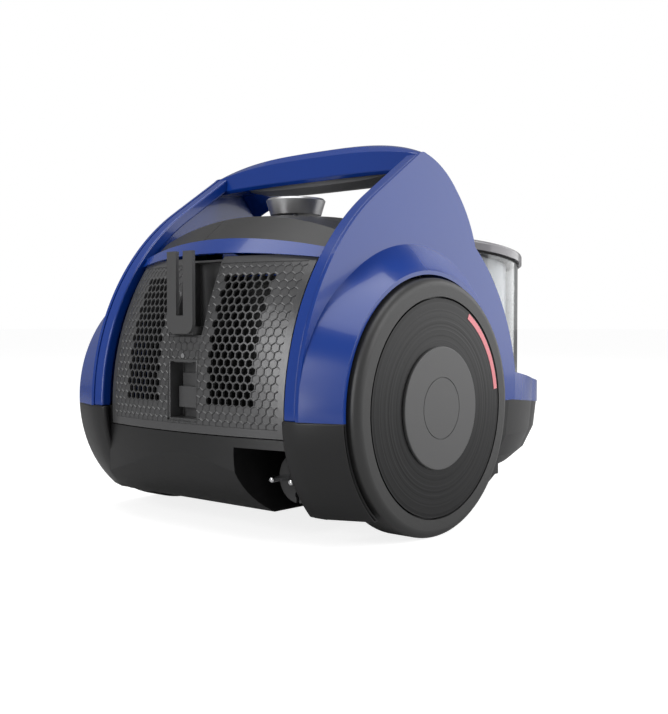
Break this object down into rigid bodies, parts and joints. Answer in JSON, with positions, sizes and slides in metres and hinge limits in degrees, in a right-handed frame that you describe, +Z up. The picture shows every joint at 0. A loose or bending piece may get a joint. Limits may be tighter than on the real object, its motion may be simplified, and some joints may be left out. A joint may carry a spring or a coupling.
{
  "type": "canister vacuum cleaner",
  "caption": "Bagless canister vacuum cleaner: arched carrying handle over blue side covers, large side wheels, front caster, dust cup, hex exhaust grille and cord reel.",
  "frame": {"origin": "on the floor under the middle of the bounding box", "axes": "+Z up, -Y to the front where the dust cup stands, +Y to the rear grille, +X to the machine's left side"},
  "size_m": [0.3176, 0.4326, 0.3105],
  "materials": {
    "black_plastic": "fine moulded grain, matte",
    "blue_plastic": "high gloss",
    "dark_grey_plastic": "satin moulded",
    "grille_grey": "satin moulded",
    "bracket_grey": "satin moulded",
    "grip_grey": "soft-touch",
    "silver_plastic": "metallic lacquer, satin",
    "board": "circuit board",
    "steel": "plain",
    "lamination": "stacked sheet",
    "aluminium": "pressed sheet",
    "black_rubber": "matte",
    "cord_black": "PVC sheathed cord, wound",
    "filter_white": "pleated filter medium",
    "foam": "open-cell foam",
    "plug_grey": "satin overmould",
    "plug_metal": "nickel plated brass pins in black sleeves",
    "clear_plastic": "clear polycarbonate",
    "smoke_plastic": "smoked translucent",
    "pale_plastic": "milky translucent",
    "tyre_grey": "satin",
    "brushed_disc": "circular brushed",
    "accent_red": "in-mould film",
    "hubcap_grey": "satin"
  },
  "bodies": {
    "chassis": {"base_tub": "black_plastic", "bulkhead": "black_plastic", "chin_cover": "blue_plastic", "control_board": "board", "cord_outlet": "black_rubber", "cup_seat": "black_plastic", "exhaust_filter": "filter_white", "fan_housing": "steel", "filter_frame": "black_plastic", "handle_grip": "grip_grey", "handle_shell": "blue_plastic", "housing_screws": "steel", "intake_duct": "black_plastic", "left_side_cover": "blue_plastic", "motor_bearings": "steel", "motor_mounts": "black_rubber", "motor_shell": "steel", "motor_stator": "lamination", "plug_body": "plug_grey", "plug_pins": "plug_metal", "premotor_filter": "foam", "rear_strip": "blue_plastic", "reel_axle": "steel", "reel_spring": "steel", "reel_stand": "black_plastic", "right_side_cover": "blue_plastic", "top_cover": "dark_grey_plastic", "wheel_axles": "steel"},
    "dust_cup": {"dust_cup": "clear_plastic", "cyclone_body": "pale_plastic", "cyclone_screen": "steel", "hose_collar": "dark_grey_plastic"},
    "lid": {"cup_lid": "smoke_plastic", "lid_seal": "black_rubber"},
    "knob": {"suction_knob": "silver_plastic"},
    "power_pedal": {"power_pedal": "dark_grey_plastic"},
    "rewind_pedal": {"rewind_pedal": "dark_grey_plastic"},
    "release_button": {"cup_release_button": "silver_plastic"},
    "grille_door": {"exhaust_grille": "grille_grey", "parking_bracket": "bracket_grey", "bracket_screw": "steel"},
    "grille_latch": {"grille_latch": "grille_grey"},
    "reel": {"reel_drum": "black_plastic", "cord_winding": "cord_black"},
    "brake": {"brake_lever": "bracket_grey"},
    "rotor": {"motor_rotor": "lamination", "fan_impeller": "aluminium"},
    "caster": {"caster_fork": "black_plastic", "caster_pin": "steel"},
    "caster_wheel": {"caster_wheel": "black_rubber"},
    "left_wheel": {"left_wheel_rim": "black_plastic", "left_tyre": "tyre_grey", "left_wheel_disc": "brushed_disc", "left_accent_arc": "accent_red", "left_hubcap": "hubcap_grey"},
    "right_wheel": {"right_wheel_rim": "black_plastic", "right_tyre": "tyre_grey", "right_wheel_disc": "brushed_disc", "right_accent_arc": "accent_red", "right_hubcap": "hubcap_grey"}
  },
  "joints": [
    {"name": "left_wheel_spin", "type": "hinge", "parent": "chassis", "child": "left_wheel", "pos_m": [0.14, 0.0988, 0.097], "axis": [1, 0, 0], "continuous": true},
    {"name": "right_wheel_spin", "type": "hinge", "parent": "chassis", "child": "right_wheel", "pos_m": [-0.14, 0.0988, 0.097], "axis": [1, 0, 0], "continuous": true},
    {"name": "caster_swivel", "type": "hinge", "parent": "chassis", "child": "caster", "pos_m": [0, -0.1062, 0.06], "axis": [0, 0, 1], "continuous": true},
    {"name": "caster_roll", "type": "hinge", "parent": "caster", "child": "caster_wheel", "pos_m": [0, -0.0952, 0.018], "axis": [1, 0, 0], "continuous": true},
    {"name": "knob_turn", "type": "hinge", "parent": "chassis", "child": "knob", "pos_m": [0, 0.0868, 0.25], "axis": [0, 0, 1], "range_deg": [0, 270]},
    {"name": "power_pedal_press", "type": "slide", "parent": "chassis", "child": "power_pedal", "axis": [0, 0, -1], "range_m": [0, 0.004], "stiffness_N_per_m": 900, "springref_m": -0.003},
    {"name": "rewind_pedal_press", "type": "slide", "parent": "chassis", "child": "rewind_pedal", "axis": [0, 0, -1], "range_m": [0, 0.004], "stiffness_N_per_m": 900, "springref_m": -0.003},
    {"name": "brake_lever_turn", "type": "hinge", "parent": "chassis", "child": "brake", "pos_m": [-0.078, 0.1028, 0.214], "axis": [1, 0, 0], "range_deg": [-6.5, 0]},
    {"name": "reel_spin", "type": "hinge", "parent": "chassis", "child": "reel", "pos_m": [-0.084, 0.0848, 0.122], "axis": [1, 0, 0], "continuous": true},
    {"name": "motor_spin", "type": "hinge", "parent": "chassis", "child": "rotor", "pos_m": [0.03, 0.0688, 0.11], "axis": [0, 1, 0], "continuous": true},
    {"name": "grille_removal", "type": "slide", "parent": "chassis", "child": "grille_door", "axis": [0, 1, 0], "range_m": [0, 0.1]},
    {"name": "grille_latch_press", "type": "slide", "parent": "grille_door", "child": "grille_latch", "axis": [0, 0, 1], "range_m": [0, 0.003], "stiffness_N_per_m": 500, "springref_m": -0.003},
    {"name": "cup_lift", "type": "slide", "parent": "chassis", "child": "dust_cup", "axis": [0, 0, 1], "range_m": [0, 0.16]},
    {"name": "lid_lift", "type": "slide", "parent": "dust_cup", "child": "lid", "axis": [0, 0, 1], "range_m": [0, 0.06]},
    {"name": "cup_release_press", "type": "slide", "parent": "chassis", "child": "release_button", "axis": [0, 0, -1], "range_m": [0, 0.004], "stiffness_N_per_m": 600, "springref_m": -0.003}
  ],
  "couplings": [
    {"joint": "brake_lever_turn", "follows": "rewind_pedal_press", "rad_per_m": -27.75}
  ]
}
